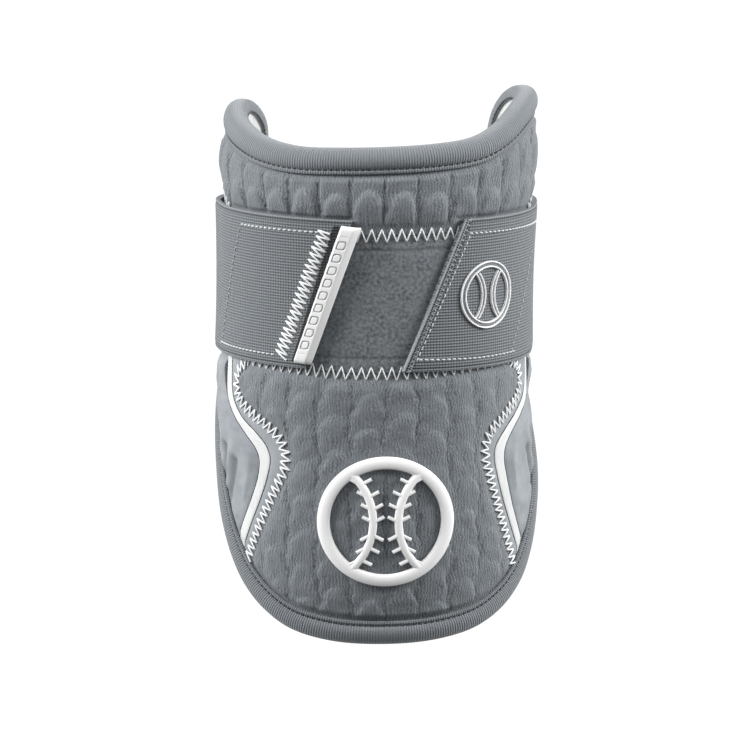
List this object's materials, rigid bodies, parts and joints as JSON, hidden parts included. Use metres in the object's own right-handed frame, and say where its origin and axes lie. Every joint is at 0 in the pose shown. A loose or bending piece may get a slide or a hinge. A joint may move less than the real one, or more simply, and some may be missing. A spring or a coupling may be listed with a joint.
{
  "type": "baseball elbow guard",
  "caption": "Padded elbow guard with bead-textured knit panels, ribbed rim binding, an elastic strap with a moulded pull tab and raised ball motifs.",
  "frame": {"origin": "middle of the bounding box, on the floor that the guard rests on", "axes": "+Y along the arm towards the neck edge with the two ears, +Z out of the front, +X to the side that the strap is sewn on"},
  "size_m": [0.1213, 0.2024, 0.0965],
  "materials": {
    "lining": "smooth pale knit",
    "bead_knit": "bead-textured padded knit",
    "loop_cloth": "brushed loop cloth",
    "ribbon": "smooth ribbon",
    "side_foam": "smooth foam-backed cloth",
    "binding_tape": "ribbed elastic tape",
    "elastic": "ribbed elastic webbing",
    "moulded_white": "satin moulded"
  },
  "bodies": {
    "root": {"lining": "lining", "upper_panel": "bead_knit", "loop_band": "loop_cloth", "lower_front_panel": "bead_knit", "gusset_left": "loop_cloth", "gusset_right": "loop_cloth", "trim_left": "ribbon", "trim_right": "ribbon", "side_panel_left": "side_foam", "side_panel_right": "side_foam", "edge_binding": "binding_tape", "elastic_strap": "elastic", "pull_tab": "moulded_white", "front_emblem": "moulded_white", "strap_emblem": "moulded_white"}
  },
  "joints": []
}
